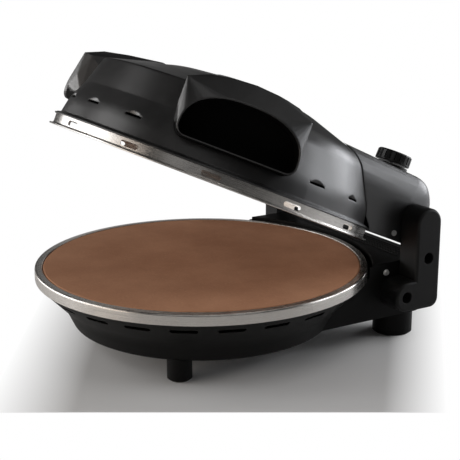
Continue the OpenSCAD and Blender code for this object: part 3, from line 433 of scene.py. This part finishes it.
# %% Floor
FLOOR_SIZE = 12.0
FLOOR_PAINT = (0.88, 0.875, 0.865, 1)
# each pair is where the white starts and where it is full, in metres
RIGHT_FADE, LEFT_FADE = (0.200, 0.258), (-0.110, -0.192)
BACK_FADE, FRONT_CUT = (0.02, 0.15), (-0.1985, -0.2005)
# the right fade starts further out the further back a place lies
RIGHT_SLANT = -0.17

bpy.ops.object.select_all(action="DESELECT")
bpy.ops.mesh.primitive_plane_add(size=FLOOR_SIZE, location=(0, 0, 0))
floor = bpy.context.object
floor.name = "floor"
paper = Finish("pale_floor")
floor_x, floor_y = paper.add("SeparateXYZ", None, Vector=paper.place()).outputs[:2]
towards_camera = (CAMERA_PLACE - CAMERA_AIM).to_2d().normalized()


def along(way_x, way_y):
    """How far a place on the floor lies in this direction."""
    return paper.math("ADD", paper.math("MULTIPLY", floor_x, way_x), paper.math("MULTIPLY", floor_y, way_y))


behind = along(-towards_camera.x, -towards_camera.y)
aside = along(-towards_camera.y, towards_camera.x)
slanted = paper.math("ADD", aside, paper.math("MULTIPLY", behind, RIGHT_SLANT))
sides = paper.math("MAXIMUM", paper.ramp(slanted, *RIGHT_FADE), paper.ramp(aside, *LEFT_FADE))
ends = paper.math("MAXIMUM", paper.ramp(behind, *BACK_FADE), paper.ramp(behind, *FRONT_CUT))
seen = paper.add("LightPath").outputs["Is Camera Ray"]
white = paper.add("Emission", None, Color=(1, 1, 1, 1), Strength=1.0)
blend = paper.add("MixShader")
paper.put(paper.math("MULTIPLY", paper.math("MAXIMUM", ends, sides), seen), blend.inputs[0])
paper.put(paper.shader.outputs[0], blend.inputs[1])
paper.put(white.outputs[0], blend.inputs[2])
paper.put(blend.outputs[0], paper.tree.nodes["Material Output"].inputs[0])
paper.set(Base_Color=FLOOR_PAINT, Roughness=0.6)
floor.data.materials.append(paper.material)
print("floor turns white", RIGHT_FADE, "m to the right and", LEFT_FADE, "m to the left")

# %% [markdown]
# ## The world
# The camera sees a white sky above the floor's edge. All other rays, those of mirror images among them, meet a dim
# one, which only keeps the deepest shadows from going fully black.

# %% World
CAMERA_SKY, FILL_SKY = 1.0, 0.05

world = bpy.data.worlds.new("studio")
bpy.context.scene.world = world
world.use_nodes = True
sky = world.node_tree
sky.nodes.clear()
path = sky.nodes.new("ShaderNodeLightPath")
pick = sky.nodes.new("ShaderNodeMixShader")
sky.links.new(path.outputs["Is Camera Ray"], pick.inputs[0])
for k, (colour, strength) in enumerate((((1.0, 0.99, 0.98, 1), FILL_SKY), ((1, 1, 1, 1), CAMERA_SKY))):
    background = sky.nodes.new("ShaderNodeBackground")
    background.inputs["Color"].default_value = colour
    background.inputs["Strength"].default_value = strength
    sky.links.new(background.outputs[0], pick.inputs[k + 1])
out = sky.nodes.new("ShaderNodeOutputWorld")
sky.links.new(pick.outputs[0], out.inputs[0])
print("sky", CAMERA_SKY, "for the camera and", FILL_SKY, "for the rest")

# %% [markdown]
# ## Lights
# Black plastic and steel show the lights more than themselves, so the lights are soft boxes on one sphere round the
# oven, each given by the direction that it comes from. A low row in front and at the left draws the bands and the
# dome's outline. Low boxes behind the oven and at its right rear light the dome's flank. The boxes higher up fill
# in, and most of them are weaker.

# %% Soft boxes
OVEN_MIDDLE = Vector((0.0, 0.0, 0.15))
LAMP_DISTANCE = 1.6
PLAIN, WARM, COOL = (1.0, 0.99, 0.985), (1.0, 0.88, 0.78), (0.95, 0.965, 1.0)


def soft_box(name, turn, rise, width, height, power, tint):
    """A soft box seen from the oven: turn is counted from the front towards the right, rise from the table."""
    across, up = math.radians(turn), math.radians(rise)
    way = Vector((math.sin(across) * math.cos(up), -math.cos(across) * math.cos(up), math.sin(up)))
    data = bpy.data.lights.new(name, "AREA")
    data.color = tint
    data.shape = "RECTANGLE"
    data.size, data.size_y, data.energy = width, height, power
    lamp = bpy.data.objects.new(name, data)
    lamp.location = OVEN_MIDDLE + LAMP_DISTANCE * way
    lamp.rotation_euler = (-way).to_track_quat("-Z", "Y").to_euler()
    bpy.context.scene.collection.objects.link(lamp)
    print(name, "power", power)


# name, turn and rise in degrees, width and height in metres, power in watts, tint
SOFT_BOXES = (
    ("low_front_left", -32, 9, 0.8, 0.5, 7.2, PLAIN),
    ("low_front", 0, 9, 0.8, 0.5, 4.0, WARM),
    ("low_left", -61, 9, 0.8, 0.5, 3.7, PLAIN),
    ("low_far_left", -120, 9, 0.8, 0.5, 0.4, PLAIN),
    ("low_flank", 150, 9, 0.8, 0.5, 3.1, COOL),
    ("flank_high", 148, 22, 0.45, 0.35, 2.2, COOL),
    ("low_back", 180, 9, 0.8, 0.5, 7.2, COOL),
    ("middle_front", -29, 35, 0.8, 0.6, 3.4, PLAIN),
    ("middle_right", 45, 33, 0.8, 0.7, 0.6, PLAIN),
    ("middle_back", -165, 33, 0.8, 0.7, 0.5, PLAIN),
    ("high_right", 90, 60, 0.9, 0.8, 2.2, PLAIN),
    ("high_back", 150, 60, 0.9, 0.8, 0.5, PLAIN),
)
for box in SOFT_BOXES:
    soft_box(*box)
